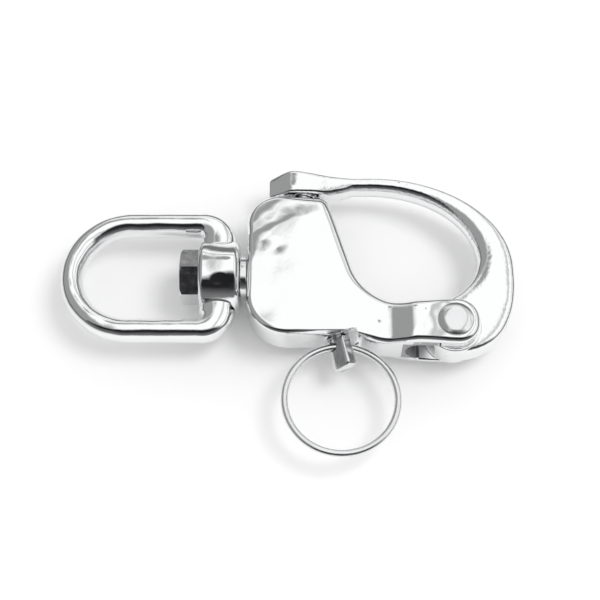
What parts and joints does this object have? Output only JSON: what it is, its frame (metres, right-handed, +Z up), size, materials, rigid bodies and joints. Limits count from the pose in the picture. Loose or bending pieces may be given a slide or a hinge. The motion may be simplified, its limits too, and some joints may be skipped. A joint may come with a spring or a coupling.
{
  "type": "swivel snap hook",
  "caption": "Stainless swivel snap hook: flat body with a hinged curved jaw, sprung pull pin with ring, and a swivelling U-shaped bail.",
  "frame": {"origin": "centre of the bail's round end, on the swivel axis and on the middle plane of the body", "axes": "+X along the swivel axis from the bail towards the jaw, +Y from the pull ring towards the latch block, +Z up out of the broad face"},
  "size_m": [0.0881, 0.0593, 0.014],
  "materials": {
    "polished_steel": "mirror-polished cast stainless steel",
    "pin_steel": "turned stainless steel"
  },
  "bodies": {
    "frame_body": {"body": "polished_steel", "hinge_pin": "pin_steel", "guide_bush": "pin_steel", "plunger_spring": "pin_steel", "swivel_bolt": "polished_steel", "thrust_washer": "polished_steel"},
    "jaw": {"jaw": "polished_steel"},
    "plunger": {"plunger": "pin_steel"},
    "ring": {"pull_ring": "polished_steel"},
    "bail": {"bail": "polished_steel"}
  },
  "joints": [
    {"name": "bail_swivel", "type": "hinge", "parent": "frame_body", "child": "bail", "pos_m": [0.0173, 0, 0], "axis": [1, 0, 0], "continuous": true},
    {"name": "jaw_hinge", "type": "hinge", "parent": "frame_body", "child": "jaw", "pos_m": [0.06195, -0.0116, 0], "axis": [0, 0, -1], "range_deg": [0, 110]},
    {"name": "plunger_slide", "type": "slide", "parent": "frame_body", "child": "plunger", "axis": [0.2079, -0.9781, 0], "range_m": [0, 0.0045], "stiffness_N_per_m": 400, "springref_m": -0.004, "deforming": ["plunger_spring"]},
    {"name": "ring_swing", "type": "hinge", "parent": "plunger", "child": "ring", "pos_m": [0.0405, -0.01477, 0], "axis": [1, 0, 0], "range_deg": [-58, 58]}
  ]
}
